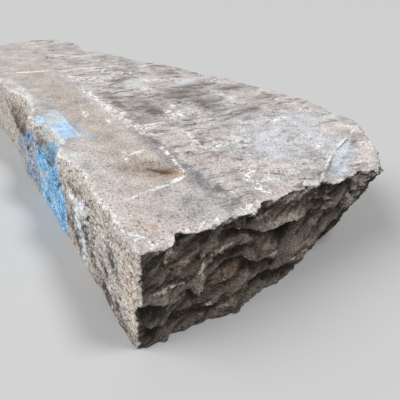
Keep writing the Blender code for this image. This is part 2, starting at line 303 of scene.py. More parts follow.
def near_end_depth(back, height):
    """How far the near end is cut in by its bedding ledges and its grooves."""
    wave = np.array([noise.noise(Vector((b, h, 0.0)) / LEDGE_WAVE_LENGTH) for b, h in zip(back, height)])
    undercuts = np.zeros(len(back))
    lips = np.zeros(len(back))
    for undercut, fade, edge in NEAR_END_LEDGES:
        backs, heights = np.array(edge).T
        below = np.interp(back, backs, heights) + LEDGE_WAVE * wave - height
        ends = smooth(np.minimum(back - backs[0], backs[-1] - back) / LEDGE_END_TAPER)
        under = smooth(below / (undercut * LEDGE_TURN)) * np.exp(-np.maximum(below, 0.0) / fade)
        undercuts = np.maximum(undercuts, undercut * ends * under)
        lips = np.maximum(lips, ends * np.exp(-((below / LEDGE_LIP_REACH) ** 2)))
    grooves = np.zeros(len(back))
    for depth, half_width, line in NEAR_END_GROOVES:
        grooves += depth * np.exp(-((distance_to_line(back, height, line) / half_width) ** 2))
    return (undercuts - LEDGE_LIP * lips + grooves) * smooth(height / LEDGE_FOOT)


def wall_relief(name, places):
    """How far a wall is broken in from its stations, at each place on it."""
    wall = WALLS[name]
    spalls = np.array([facet(place, SPALL_SIZE) for place in places])
    flakes = np.array([facet(place, SCALE_SIZE) for place in places])
    rough = np.array([grain(place, wall["climb"]) for place in places])
    depth = wall["spalls"] * (spalls - 0.5) + wall["scales"] * (flakes - 0.5) + wall["grain"] * (rough - 0.5)
    if name == "near_end":
        depth += near_end_depth(places[:, 1], places[:, 2])
    return depth


def break_walls(points):
    """Move the points near the walls inward by the walls' relief. Also gives each point's inset."""
    shift = np.zeros((len(points), 2))
    weight = np.zeros(len(points))
    inset = np.full(len(points), np.inf)
    for name, wall in WALLS.items():
        foot, gap = nearest_on_wall(name, points)
        inset = np.minimum(inset, gap)
        share = np.exp(-((gap / CORNER_MIX) ** 2)) + LEAST_SHARE
        close = gap < WALL_REACH
        places = np.column_stack([foot, points[:, 2]])[close]
        depth = np.zeros(len(points))
        depth[close] = wall_relief(name, places)
        shift -= (share * depth)[:, None] * np.array(wall["outward"])
        weight += share
    fall = np.clip(1.0 - inset / WALL_REACH, 0.0, 1.0)
    moved = points.copy()
    moved[:, :2] += shift / weight[:, None] * fall[:, None]
    return moved, inset


def flake_drop(points):
    """How far the tread is lowered by the flakes that have split off it."""
    drop = np.zeros(len(points))
    for depth, slope_width, outline in FLAKES:
        inside = np.full(len(points), np.inf)
        corners = np.array(outline) * (-1.0, 1.0)
        for a, b in zip(corners, np.roll(corners, -1, axis=0)):
            run = (b - a) / np.linalg.norm(b - a)
            inside = np.minimum(inside, run[0] * (points[:, 1] - a[1]) - run[1] * (points[:, 0] - a[0]))
        drop += depth * smooth(inside / slope_width)
    return drop


def chip_drop(points):
    """How far the tread's edges are lowered by chips."""
    drop = np.zeros(len(points))
    for along, back, half_length, reach, depth in CHIPS:
        distance = np.hypot((points[:, 0] + along) / half_length, (points[:, 1] - back) / reach)
        drop = np.maximum(drop, depth * smooth(CHIP_STEEPNESS * (1.0 - distance)))
    return drop


def hollows(points, lift):
    """Broad worn hollows, from 0 to 1, that leave flat ground between them."""
    values = [noise.noise(Vector((x, y, lift)) / HOLLOW_SIZE) for x, y in points[:, :2]]
    return ramp(np.array(values), HOLLOW_THRESHOLD, HOLLOW_RANGE)


def wear_tread_and_bed(points, inset):
    """Squeeze the slab between the worn tread and the uneven bed."""
    wear = EDGE_WEAR_DEPTH * np.clip(1.0 - inset / EDGE_WEAR_WIDTH, 0.0, 1.0) ** 2
    tread = RISE - HOLLOW_DEPTH * hollows(points, 1.0) - flake_drop(points) - chip_drop(points) - wear
    bed = BED_HOLLOW_DEPTH * hollows(points, 3.0)
    worn = points.copy()
    worn[:, 2] = bed + (tread - bed) * points[:, 2] / RISE
    return worn


def stand_on_origin(points):
    """Put the middle of the slab's extent over the origin and its lowest point on the ground."""
    low, high = points.min(axis=0), points.max(axis=0)
    return points - ((low[0] + high[0]) / 2, (low[1] + high[1]) / 2, low[2])


def read_points(mesh, vector="co"):
    """Each vertex's place, or its normal."""
    flat = np.empty(3 * len(mesh.vertices), dtype=np.float32)
    mesh.vertices.foreach_get(vector, flat)
    return flat.reshape(-1, 3).astype(float)


def write_points(mesh, points):
    mesh.vertices.foreach_set("co", points.astype(np.float32).ravel())
    mesh.update()


def apply_modifier(stone, kind, **settings):
    """Add one modifier to the stone and turn its result into the stone's mesh."""
    modifier = stone.modifiers.new(kind, kind)
    for name, value in settings.items():
        setattr(modifier, name, value)
    evaluated = stone.evaluated_get(bpy.context.evaluated_depsgraph_get())
    mesh = bpy.data.meshes.new_from_object(evaluated)
    stone.modifiers.clear()
    stone.data = mesh


def sculpt(mesh):
    """Carry the stone's mesh from the plain slab to the broken and worn one."""
    points = read_points(mesh)
    points[:, 2] = np.clip(np.round(points[:, 2] / HEIGHT_ROUNDING) * HEIGHT_ROUNDING, 0.0, RISE)
    points, inset = break_walls(points)
    write_points(mesh, stand_on_origin(wear_tread_and_bed(points, inset)))


def roughen(mesh):
    """Pit the surface by its finest crumb, inward only, and less on the worn tread than elsewhere."""
    points, normals = read_points(mesh), read_points(mesh, "normal")
    share = 1.0 - (1.0 - TREAD_CRUMB_SHARE) * ramp(normals[:, 2], *TREAD_SLOPE)
    share *= 1.0 - ramp(-normals[:, 2], *BED_SLOPE)
    for size, depth in CRUMB:
        value = np.array([noise.noise(drawn_out(p, WALLS["near_end"]["climb"]) / size) for p in points])
        points -= normals * (depth * share * smooth(0.5 + CRUMB_CONTRAST * value))[:, None]
    points[:, 2] = np.maximum(points[:, 2], 0.0)
    write_points(mesh, points)


def crest(mesh):
    """How far each vertex stands out from its neighbours: above 0 on an edge, below 0 in a crevice."""
    points, normals = read_points(mesh), read_points(mesh, "normal")
    ends = np.empty(2 * len(mesh.edges), dtype=np.int32)
    mesh.edges.foreach_get("vertices", ends)
    a, b = ends.reshape(-1, 2).T
    count = np.bincount(ends, minlength=len(points))[:, None]
    middle = points
    for _ in range(CREST_RINGS):
        total = np.zeros_like(middle)
        np.add.at(total, a, middle[b])
        np.add.at(total, b, middle[a])
        middle = 0.5 * middle + 0.5 * total / count
    return ((points - middle) * normals).sum(axis=1)


def chipped(mesh):
    """1 on the floors of the chips along the tread's edge, 0 elsewhere."""
    points = read_points(mesh)
    drop = chip_drop(points[:, :2] - TAPE_ZERO)
    under = RISE - drop - points[:, 2]
    return ramp(drop, *CHIP_DEEP) * (1.0 - ramp(under, *CHIP_UNDERCUT))


def add_attribute(mesh, name, values):
    attribute = mesh.attributes.new(name, "FLOAT", "POINT")
    attribute.data.foreach_set("value", values.astype(np.float32))


def tell_paint(mesh):
    """Note on the mesh what the paint is told about its shape."""
    points = read_points(mesh)
    cut_in = near_end_depth(points[:, 1] - TAPE_ZERO[1], points[:, 2])
    add_attribute(mesh, "recess", ramp(points[:, 0], *NEAR_END_START) * cut_in)
    add_attribute(mesh, "crest", crest(mesh))
    add_attribute(mesh, "chipped", chipped(mesh))


def build_stone():
    stone = bpy.data.objects.new(PIECE, slab_block())
    bpy.context.scene.collection.objects.link(stone)
    apply_modifier(stone, "REMESH", mode="VOXEL", voxel_size=WORKING_VOXEL)
    sculpt(stone.data)
    roughen(stone.data)
    triangles = 2 * len(stone.data.polygons)
    apply_modifier(stone, "DECIMATE", ratio=PIECE_TRIANGLES / triangles, use_collapse_triangulate=True)
    stone.data.name = PIECE
    tell_paint(stone.data)
    stone.data.shade_smooth()
    return stone


# How far a mark reaches along its place's third axis: far enough to be the same all through the stone.
STROKE_REACH = 10.0

# The stone's display colours, from 0 to 255. A ground is mixed from warm and cool, or pale and dark.
TREAD_TONES = SimpleNamespace(
    warm=(198, 189, 184), cool=(182, 179, 177), bleached=(208, 205, 203), streaks=(146, 136, 134),
    band=(189, 178, 167), dark_grain=(114, 103, 102), light_grain=(228, 224, 223), veins=(108, 98, 96),
    flecks=(244, 243, 240), smudge=(128, 125, 127), crevice_shade=(110, 112, 118), scuffs=(246, 244, 240),
    pale_blue=(186, 214, 241), grey_paint=(200, 206, 212), blue_streak=(168, 186, 206),
)
RISER_TONES = SimpleNamespace(
    pale=(248, 240, 230), dark=(194, 183, 172), dark_specks=(98, 87, 76), light_specks=(246, 240, 232),
    pale_blue=(166, 186, 210), blue=(122, 196, 255), light_blue=(186, 228, 255), worn_blue=(232, 236, 244),
)
# Of the broken walls' tones, the near end's two, the foot's, the facing-down and the undercut tones are
# painted shade, the lip tone is a painted highlight, and the dust tone is dust with painted highlight.
BROKEN_TONES = SimpleNamespace(
    pale=(124, 113, 103), dark=(80, 71, 63), near_end_pale_in_shade=(70, 63, 56), near_end_dark_in_shade=(40, 35, 30),
    rust=(104, 82, 66), foot=(38, 35, 29), dust=(150, 137, 124), facing_down_shade=(24, 21, 17),
    undercut=(26, 23, 18), lip_highlight=(160, 152, 143), edge=(168, 160, 150),
)
CHIP_TONES = SimpleNamespace(pale=(168, 152, 139), dark=(106, 90, 80), pits=(66, 52, 45))
# The rim tone is pale wear with a painted highlight; the crevice tone is painted shade; the pits are the
# stone's own.
RELIEF_TONES = SimpleNamespace(worn_rim_and_highlight=(228, 223, 216), crevice_shade=(66, 58, 52), pits=(98, 86, 78))
# How much lighter the broken facets that face up are made: partly dust, partly painted highlight.
DUST_AND_HIGHLIGHT_GAIN = (1.9, 1.9, 1.9, 1.0)
# How far the relief, the grit and the dust each lighten and darken the colour, and the tread's share.
RELIEF_SHADE, GRIT_SHADE, DUST_SHADE = 0.32, 0.42, 0.42
TREAD_SHADE_SHARE = 0.70

BUMP_HEIGHT = 0.0024
TREAD_BUMP_LESS = 0.0013
ROUGHNESS = 0.92
PAINT_ROUGHNESS_LESS = 0.25
SPECULAR_LEVEL = 0.3

# Two bands along the tread and the scraps of paint on it, by their corners as (along, back). Every
# such outline is convex and runs anticlockwise.
TAN_BAND = [(0.100, 0.050), (0.950, 0.040), (0.950, 0.150), (0.140, 0.142)]
SMUDGE_BAND = [(0.010, 0.134), (0.360, 0.134), (0.350, 0.176), (0.010, 0.180)]
TOP_PALE_BLUE = [(0.346, 0.020), (0.400, 0.010), (0.480, -0.002), (0.480, 0.060), (0.352, 0.058)]
TOP_GREY_PAINT = [(0.409, 0.000), (0.469, 0.020), (0.515, 0.045), (0.505, 0.060), (0.440, 0.056)]
TOP_BLUE_STREAK = [(0.322, 0.060), (0.440, 0.062), (0.420, 0.077), (0.322, 0.076)]

# Zones and marks are given as (display colour, strength, marks). Each mark is a line with a width:
# on the tread, (from along, from back, to along, to back, width).
TREAD_PALE_ZONES = [
    ((200, 184, 178), 0.60, [
        (0.480, 0.540, 0.360, 0.500, 0.110), (0.110, 0.330, 0.090, 0.200, 0.050),
        (0.050, 0.200, 0.030, 0.300, 0.040), (0.180, 0.060, 0.040, 0.060, 0.090),
    ]),
    ((220, 221, 223), 0.85, [
        (0.640, 0.480, 0.590, 0.390, 0.100), (0.690, 0.350, 0.600, 0.260, 0.080),
        (0.820, 0.024, 0.500, 0.026, 0.036), (0.450, 0.480, 0.420, 0.440, 0.050),
        (0.240, 0.620, 0.225, 0.560, 0.030), (0.300, 0.014, 0.240, 0.016, 0.036),
    ]),
    ((204, 206, 211), 0.90, [
        (0.260, 0.400, 0.110, 0.330, 0.190), (0.260, 0.560, 0.230, 0.420, 0.140),
        (0.210, 0.480, 0.100, 0.430, 0.140),
    ]),
    ((226, 215, 211), 0.90, [(0.200, 0.590, 0.170, 0.500, 0.070), (0.110, 0.560, 0.020, 0.450, 0.070)]),
]
TREAD_DARK_ZONES = [
    ((110, 100, 98), 0.82, [
        (0.580, 0.460, 0.480, 0.300, 0.170), (0.520, 0.330, 0.390, 0.400, 0.140),
        (0.520, 0.240, 0.370, 0.226, 0.130), (0.352, 0.470, 0.335, 0.390, 0.040),
        (0.750, 0.470, 0.690, 0.420, 0.080), (0.700, 0.310, 0.680, 0.240, 0.050),
        (0.530, 0.560, 0.500, 0.480, 0.050), (0.640, 0.195, 0.300, 0.190, 0.050),
        (0.420, 0.580, 0.400, 0.520, 0.050),
    ]),
]
TREAD_MARKS = [
    ((108, 107, 112), 0.60, [(0.310, 0.167, 0.255, 0.163, 0.022), (0.150, 0.164, 0.090, 0.150, 0.030)]),
    ((206, 215, 224), 0.95, [(0.120, 0.500, 0.070, 0.430, 0.054), (0.078, 0.435, 0.030, 0.370, 0.040)]),
    ((210, 180, 160), 0.35, [(0.066, 0.026, 0.020, 0.042, 0.036)]),
    ((158, 140, 130), 0.75, [(0.205, 0.105, 0.145, 0.128, 0.080), (0.210, 0.060, 0.180, 0.110, 0.050)]),
    ((180, 148, 124), 0.70, [(0.175, 0.112, 0.132, 0.144, 0.036)]),
    ((88, 70, 60), 0.95, [(0.184, 0.106, 0.154, 0.130, 0.030)]),
]
# A thin painted shadow along the edge of the flake that split off the tread.
FLAKE_CREVICE_SHADE = [(0.134, 0.530, 0.096, 0.438, 0.005), (0.096, 0.438, 0.036, 0.345, 0.005)]
WHITE_LINES = [
    (0.838, 0.000, 0.832, 0.160, 0.018), (0.834, 0.150, 0.828, 0.330, 0.012),
    (0.137, 0.142, 0.125, 0.110, 0.013), (0.125, 0.112, 0.121, 0.070, 0.010),
    (0.121, 0.070, 0.112, 0.034, 0.008), (0.494, 0.004, 0.472, 0.027, 0.006),
    (0.472, 0.027, 0.482, 0.066, 0.006), (0.162, 0.585, 0.141, 0.535, 0.006),
    (0.141, 0.535, 0.102, 0.440, 0.007), (0.102, 0.440, 0.052, 0.360, 0.006),
    (0.052, 0.360, 0.028, 0.325, 0.006),
]
WHITE_SCUFFS = [
    (0.660, 0.158, 0.500, 0.158, 0.036), (0.570, 0.156, 0.350, 0.160, 0.032),
    (0.357, 0.162, 0.352, 0.245, 0.018), (0.337, 0.210, 0.341, 0.165, 0.014),
    (0.338, 0.163, 0.303, 0.165, 0.016), (0.306, 0.163, 0.300, 0.197, 0.014),
    (0.440, 0.180, 0.424, 0.160, 0.020), (0.730, 0.160, 0.702, 0.275, 0.044),
    (0.692, 0.165, 0.678, 0.240, 0.036), (0.770, 0.140, 0.730, 0.200, 0.030),
    (0.302, 0.239, 0.222, 0.229, 0.019), (0.213, 0.235, 0.213, 0.310, 0.017),
    (0.126, 0.295, 0.118, 0.262, 0.022), (0.120, 0.266, 0.098, 0.232, 0.026),
    (0.112, 0.228, 0.026, 0.222, 0.026), (0.080, 0.256, 0.064, 0.262, 0.014),
    (0.430, 0.272, 0.368, 0.260, 0.026), (0.410, 0.294, 0.374, 0.276, 0.028),
    (0.455, 0.308, 0.432, 0.288, 0.020), (0.276, 0.510, 0.270, 0.430, 0.026),
    (0.187, 0.468, 0.177, 0.442, 0.030), (0.140, 0.445, 0.128, 0.422, 0.026),
    (0.252, 0.132, 0.234, 0.094, 0.016), (0.262, 0.098, 0.220, 0.085, 0.014),
    (0.490, 0.107, 0.440, 0.099, 0.017), (0.424, 0.130, 0.376, 0.125, 0.014),
    (0.524, 0.137, 0.518, 0.110, 0.013), (0.270, 0.166, 0.150, 0.150, 0.012),
    (0.164, 0.150, 0.134, 0.138, 0.014), (0.044, 0.006, 0.008, 0.026, 0.016),
    (0.012, 0.030, 0.018, 0.143, 0.015), (0.018, 0.143, 0.025, 0.215, 0.016),
    (0.160, 0.003, 0.010, 0.003, 0.014),
]

# Paint on the riser, by its corners as (along, height), and the riser's marks along the same axes.
RISER_BLUE = [
    (0.312, -0.010), (0.470, -0.010), (0.480, 0.060), (0.465, 0.115), (0.400, 0.160), (0.330, 0.190),
    (0.288, 0.190), (0.294, 0.100),
]
RISER_PALE_BLUE = [
    (0.400, 0.000), (0.720, 0.000), (0.690, 0.070), (0.600, 0.115), (0.480, 0.170), (0.400, 0.178),
]
RISER_MARKS = [
    ((230, 210, 194), 0.80, [(0.050, 0.160, 0.000, 0.150, 0.060), (0.045, 0.120, 0.000, 0.060, 0.060)]),
    ((120, 103, 90), 0.80, [(0.200, 0.004, 0.000, 0.012, 0.060)]),
    ((126, 110, 99), 0.80, [(0.740, 0.150, 0.640, 0.110, 0.060), (0.430, 0.160, 0.380, 0.145, 0.030)]),
    ((120, 168, 222), 0.85, [
        (0.590, 0.010, 0.540, 0.062, 0.060), (0.540, 0.120, 0.450, 0.150, 0.030),
        (0.500, 0.030, 0.530, 0.050, 0.030), (0.300, 0.092, 0.276, 0.080, 0.012),
        (0.242, 0.026, 0.226, 0.010, 0.018),
    ]),
    ((158, 158, 163), 0.45, [(0.300, 0.070, 0.165, 0.080, 0.110), (0.110, 0.105, 0.055, 0.100, 0.050)]),
    ((76, 76, 84), 0.95, [
        (0.206, 0.094, 0.186, 0.060, 0.034), (0.190, 0.066, 0.172, 0.030, 0.034),
        (0.166, 0.116, 0.168, 0.070, 0.018), (0.306, 0.046, 0.256, 0.062, 0.046),
        (0.294, 0.104, 0.240, 0.090, 0.026), (0.260, 0.052, 0.230, 0.026, 0.036),
        (0.100, 0.112, 0.062, 0.090, 0.044), (0.156, 0.030, 0.100, 0.010, 0.044),
        (0.146, 0.064, 0.106, 0.045, 0.030), (0.088, 0.044, 0.066, 0.018, 0.034),
    ]),
    ((212, 214, 224), 0.80, [(0.178, 0.124, 0.174, 0.095, 0.022), (0.271, 0.090, 0.256, 0.074, 0.014)]),
]
# The riser's finest marks, over its blue paint.
RISER_FINE_MARKS = [
    ((126, 124, 104), 0.85, [(0.386, 0.080, 0.378, 0.070, 0.016), (0.442, 0.018, 0.404, 0.025, 0.016)]),
    ((232, 226, 222), 0.85, [
        (0.432, 0.078, 0.385, 0.102, 0.014), (0.470, 0.048, 0.450, 0.078, 0.016),
        (0.070, 0.178, 0.069, 0.150, 0.007),
    ]),
    ((250, 252, 255), 1.00, [
        (0.244, 0.137, 0.220, 0.122, 0.020), (0.220, 0.121, 0.181, 0.138, 0.030),
        (0.216, 0.130, 0.196, 0.112, 0.026), (0.220, 0.128, 0.226, 0.068, 0.029),
        (0.226, 0.080, 0.214, 0.052, 0.023), (0.215, 0.062, 0.219, 0.010, 0.016),
    ]),
    ((224, 166, 136), 0.90, [(0.284, 0.008, 0.261, 0.028, 0.013)]),
]

# Marks on the near end, along (back, height): the dark ones painted shade under its ledges, the brown ones
# painted shade in its hollows together with the rock's brown stain, the pale ones painted light on its lit
# facets.
END_LIGHT_AND_SHADE_MARKS = [
    ((122, 100, 84), 0.70, [
        (0.050, 0.128, 0.100, 0.146, 0.040), (0.108, 0.112, 0.160, 0.120, 0.024),
        (0.135, 0.016, 0.160, 0.038, 0.036), (0.215, 0.150, 0.275, 0.156, 0.024),
        (0.125, 0.070, 0.170, 0.086, 0.030),
    ]),
    ((28, 26, 20), 0.85, [
        (0.045, 0.168, 0.160, 0.168, 0.026), (0.054, 0.166, 0.042, 0.130, 0.016),
        (0.000, 0.092, 0.052, 0.082, 0.014), (0.000, 0.024, 0.100, 0.026, 0.044),
        (0.098, 0.100, 0.158, 0.110, 0.014), (0.168, 0.160, 0.202, 0.156, 0.022),
        (0.262, 0.092, 0.330, 0.130, 0.040), (0.340, 0.158, 0.440, 0.168, 0.022),
        (0.188, 0.072, 0.258, 0.064, 0.014), (0.205, 0.038, 0.310, 0.024, 0.026),
        (0.350, 0.040, 0.420, 0.056, 0.036), (0.112, 0.018, 0.118, 0.044, 0.012),
        (0.088, 0.084, 0.092, 0.050, 0.014),
    ]),
    ((176, 160, 150), 0.75, [
        (0.060, 0.118, 0.088, 0.134, 0.026), (0.190, 0.112, 0.262, 0.084, 0.032),
        (0.270, 0.070, 0.350, 0.050, 0.036), (0.335, 0.090, 0.410, 0.100, 0.034),
        (0.175, 0.142, 0.300, 0.140, 0.018), (0.215, 0.170, 0.325, 0.166, 0.018),
        (0.148, 0.038, 0.156, 0.026, 0.014), (0.020, 0.140, 0.034, 0.150, 0.020),
    ]),
]
# Thin pale lines along the lips of the near end's ledges: painted highlights.
END_FINE_HIGHLIGHTS = [
    ((230, 220, 204), 0.80, [
        (0.004, 0.106, 0.080, 0.098, 0.004), (0.080, 0.098, 0.104, 0.125, 0.005),
        (0.104, 0.126, 0.165, 0.131, 0.007), (0.160, 0.146, 0.200, 0.136, 0.006),
        (0.195, 0.134, 0.300, 0.134, 0.009), (0.101, 0.094, 0.107, 0.054, 0.009),
        (0.164, 0.070, 0.168, 0.056, 0.007), (0.040, 0.046, 0.086, 0.068, 0.006),
        (0.200, 0.078, 0.262, 0.074, 0.006), (0.270, 0.046, 0.345, 0.040, 0.006),
    ]),
]


class Paint:
    """Builds a material's nodes. From math on, its methods return outputs.

    The renderer keeps a shader's values on a stack of 255 slots. To stay within it, steps aren't
    clamped, a stroke takes few nodes, and marks are combined one by one.
    """

    def __init__(self, name):
        self.material = bpy.data.materials.new(name)
        self.material.use_nodes = True
        self.nodes = self.material.node_tree.nodes
        self.links = self.material.node_tree.links

    def feed(self, socket, value):
        """Link an output to an input socket, or set the socket to a constant."""
        if isinstance(value, bpy.types.NodeSocket):
            self.links.new(value, socket)
        else:
            socket.default_value = value

    def put(self, kind, settings=(), **inputs):
        """A new node, with its inputs fed by name or, as i0, i1 and so on, by number."""
        node = self.nodes.new(kind)
        for key, value in dict(settings).items():
            setattr(node, key, value)
        for key, value in inputs.items():
            numbered = key[0] == "i" and key[1:].isdigit()
            self.feed(node.inputs[int(key[1:]) if numbered else key], value)
        return node

    def finished(self, looks):
        """The material, with its surface's own inputs fed."""
        shader = self.nodes["Principled BSDF"]
        for name, value in looks.items():
            self.feed(shader.inputs[name], value)
        return self.material

    def math(self, operation, a, b=0.0):
        return self.put("ShaderNodeMath", {"operation": operation}, i0=a, i1=b).outputs[0]

    def step(self, value, low, high):
        """A smooth step from 0 at low to 1 at high."""
        settings = {"interpolation_type": "SMOOTHSTEP", "clamp": False}
        return self.put("ShaderNodeMapRange", settings, i0=value, i1=low, i2=high).outputs[0]

    def both(self, *values):
        """The product of several shares."""
        total = values[0]
        for value in values[1:]:
            total = self.math("MULTIPLY", total, value)
        return total

    def either(self, first, second):
        """The larger of two shares."""
        return self.math("MAXIMUM", first, second)

    def blend(self, share, a, b):
        """a where the share is 0, b where it is 1, as numbers."""
        return self.math("ADD", a, self.math("MULTIPLY", share, self.math("SUBTRACT", b, a)))

    def mix(self, share, a, b, blend="MIX"):
        """a where the share is 0, b where it is 1, as colours."""
        settings = {"data_type": "RGBA", "blend_type": blend}
        return self.put("ShaderNodeMix", settings, i0=share, i6=a, i7=b).outputs[2]

    def over(self, colour, tint, *shares):
        """The colour with a display colour laid over it, by the product of the shares."""
        return self.mix(self.both(*shares), colour, rgb(*tint))

    def noise(self, place, size, detail=3.0, roughness=0.6, twist=0.0):
        """Noise from 0 to 1 with features of the given size in metres."""
        node = self.put("ShaderNodeTexNoise", Vector=place, Scale=1.0 / size, Detail=detail,
                        Roughness=roughness, Distortion=twist)
        return node.outputs["Fac"]

    def vein(self, value, width):
        """Thin wandering lines: 1 where a noise crosses its middle."""
        return self.step(self.math("ABSOLUTE", self.math("SUBTRACT", value, 0.5)), width, 0.3 * width)

    def vector(self, operation, **inputs):
        return self.put("ShaderNodeVectorMath", {"operation": operation}, **inputs).outputs

    def stretched(self, place, factors, turn=(0.0, 0.0, 0.0)):
        """The place with each axis squeezed, so that a pattern on it is drawn out."""
        return self.put("ShaderNodeMapping", Vector=place, Scale=factors, Rotation=turn).outputs[0]

    def jittered(self, place, size, amount):
        """The place shifted by noise, which frays the edge of any mark laid on it."""
        cloud = self.put("ShaderNodeTexNoise", Vector=place, Scale=1.0 / size, Detail=4.0).outputs["Color"]
        centred = self.vector("SUBTRACT", i0=cloud, i1=(0.5, 0.5, 0.5))[0]
        shift = self.vector("SCALE", i0=centred, Scale=amount)[0]
        return self.vector("ADD", i0=place, i1=shift)[0]

    def stroke(self, place, mark, soft):
        """A mark along a line in the place's first two axes: 1 inside, 0 outside."""
        x0, y0, x1, y1, width = mark
        run = (x1 - x0, y1 - y0)
        middle = ((x0 + x1) / 2, (y0 + y1) / 2, 0.0)
        half = (math.hypot(*run) / 2 + width / 2, width / 2, STROKE_REACH)
        node = self.put("ShaderNodeMapping", {"vector_type": "TEXTURE"}, Vector=place, Location=middle,
                        Rotation=(0.0, 0.0, math.atan2(run[1], run[0])), Scale=half)
        depth_in = self.put("ShaderNodeTexGradient", {"gradient_type": "SPHERICAL"}, Vector=node.outputs[0])
        return self.step(depth_in.outputs["Fac"], 0.0, soft)

    def strokes(self, place, marks, soft):
        """The strongest of several marks."""
        strongest = 0.0
        for mark in marks:
            strongest = self.either(strongest, self.stroke(place, mark, soft))
        return strongest

    def marked(self, colour, place, zones, soft, share=1.0):
        """The colour with the marks of each zone laid over it in turn."""
        for tint, strength, marks in zones:
            colour = self.over(colour, tint, self.strokes(place, marks, soft), share, strength)
        return colour

    def patch(self, place, corners, soft):
        """A convex patch: 1 inside, falling to 0 over the soft width within its edges."""
        share = 1.0
        for a, b in zip(corners, corners[1:] + corners[:1]):
            length = math.hypot(b[0] - a[0], b[1] - a[1])
            inward = ((a[1] - b[1]) / length, (b[0] - a[0]) / length, 0.0)
            edge = a[0] * inward[0] + a[1] * inward[1]
            reach = self.vector("DOT_PRODUCT", i0=place, i1=inward)["Value"]
            share = self.both(share, self.step(reach, edge, edge + soft))
        return share


class StonePaint(Paint):
    """What the stone's colours are laid by: places on it, what its shape tells, and noises."""

    def __init__(self):
        super().__init__("bluestone_weathered")
        row = self.put("ShaderNodeTexCoord").outputs["Object"]
        self.taped = self.put("ShaderNodeMapping", Vector=row, Scale=(-1.0, 1.0, 1.0),
                              Location=(TAPE_ZERO[0], -TAPE_ZERO[1], 0.0)).outputs[0]
        self.along, self.back, self.height = self.put("ShaderNodeSeparateXYZ", i0=self.taped).outputs
        self.face = self.reordered(self.along, self.height, self.back)
        self.end = self.reordered(self.back, self.height, self.along)
        self.note_shape()
        self.add_noises()

    def reordered(self, first, second, third):
        return self.put("ShaderNodeCombineXYZ", i0=first, i1=second, i2=third).outputs[0]

    def told(self, name):
        return self.put("ShaderNodeAttribute", {"attribute_name": name}).outputs["Fac"]

    def note_shape(self):
        """Which way the surface faces, and what the mesh tells the paint."""
        facing = self.put("ShaderNodeNewGeometry").outputs["Normal"]
        _, backward, self.upward = self.put("ShaderNodeSeparateXYZ", i0=facing).outputs
        self.recess, self.edge, self.chip = self.told("recess"), self.told("crest"), self.told("chipped")
        self.is_tread = self.both(self.step(self.upward, 0.50, 0.80), self.step(self.height, 0.150, 0.160))
        self.is_riser = self.step(backward, -0.45, -0.75)
        self.dressed = self.either(self.is_tread, self.is_riser)

    def add_noises(self):
        """The noises of the stone as a whole."""
        rising = self.math("SUBTRACT", self.height, self.both(self.back, WALLS["near_end"]["climb"]))
        drawn = self.reordered(self.along, self.both(self.back, GRAIN_DRAWING),
                               self.both(rising, 1.0 / FACET_FLATTENING))
        self.cloud = self.noise(self.taped, 0.120, 4.0, 0.65, 0.6)
        self.blotch = self.noise(self.taped, 0.035, 6.0, 0.72, 0.4)
        self.layers = self.noise(drawn, 0.030, 6.0, 0.70, 0.4)
        self.grit = self.noise(self.taped, 0.0040, 3.0, 0.75)
        self.dust = self.noise(self.taped, 0.0018, 2.0, 0.8)
        self.pits = self.step(self.noise(self.taped, 0.0045, 1.0, 0.5), 0.36, 0.28)
        self.relief = self.blend(self.dressed, self.layers, self.blotch)


def rgb(red, green, blue):
    """A display colour of 0 to 255 as the linear colour that a shader takes."""
    channels = [value / 255.0 for value in (red, green, blue)]
    return (*[c / 12.92 if c <= 0.04045 else ((c + 0.055) / 1.055) ** 2.4 for c in channels], 1.0)


def tread_noises(paint):
    """The frayed places and the noises that the tread's layers are cut by."""
    turned = paint.stretched(paint.taped, (1.0, 0.36, 1.0), (0.0, 0.0, 0.20))
    return SimpleNamespace(
        wide=paint.jittered(paint.taped, 0.050, 0.060),
        frayed=paint.jittered(paint.taped, 0.018, 0.018),
        ragged=paint.jittered(paint.taped, 0.007, 0.007),
        cloud=paint.noise(paint.taped, 0.110, 4.0, 0.65, 0.6),
        patchy=paint.noise(paint.taped, 0.060, 3.0, 0.6),
        mottle=paint.noise(paint.taped, 0.022, 6.0, 0.75, 0.8),
        crackle=paint.noise(paint.taped, 0.016, 6.0, 0.72, 1.2),
        crumbs=paint.noise(paint.taped, 0.009, 5.0, 0.75, 0.8),
        across=paint.noise(turned, 0.018, 6.0, 0.76, 0.6),
    )


def tread_stone(paint, cut):
    """The tread's own stone: grey and tan, veined, and streaked and flecked behind the tan band."""
    tones = TREAD_TONES
    behind = paint.step(paint.back, 0.140, 0.165)
    colour = paint.over(rgb(*tones.warm), tones.cool, paint.step(cut.cloud, 0.38, 0.62))
    colour = paint.over(colour, tones.bleached, paint.step(cut.patchy, 0.55, 0.70), 0.5)
    streaks = paint.both(behind, paint.step(cut.across, 0.50, 0.62), paint.step(cut.cloud, 0.35, 0.55))
    colour = paint.over(colour, tones.streaks, streaks, 0.7)
    band = paint.both(paint.patch(cut.frayed, TAN_BAND, 0.030), paint.step(cut.mottle, 0.10, 0.45))
    colour = paint.over(colour, tones.band, band, 0.80)
    grained = paint.both(behind, paint.step(cut.patchy, 0.25, 0.55), 0.80)
    colour = paint.over(colour, tones.dark_grain, grained, paint.step(cut.across, 0.52, 0.60))
    colour = paint.over(colour, tones.light_grain, grained, paint.step(cut.across, 0.45, 0.37))
    veined = paint.both(paint.step(cut.cloud, 0.45, 0.62), paint.step(cut.mottle, 0.42, 0.58))
    colour = paint.over(colour, tones.veins, paint.vein(cut.crackle, 0.030), veined, 0.70)
    flecked = paint.both(paint.step(cut.crumbs, 0.46, 0.52), paint.step(cut.patchy, 0.48, 0.60))
    strength = paint.blend(behind, 0.10, 0.85)
    return paint.over(colour, tones.flecks, paint.vein(cut.across, 0.045), flecked, strength)


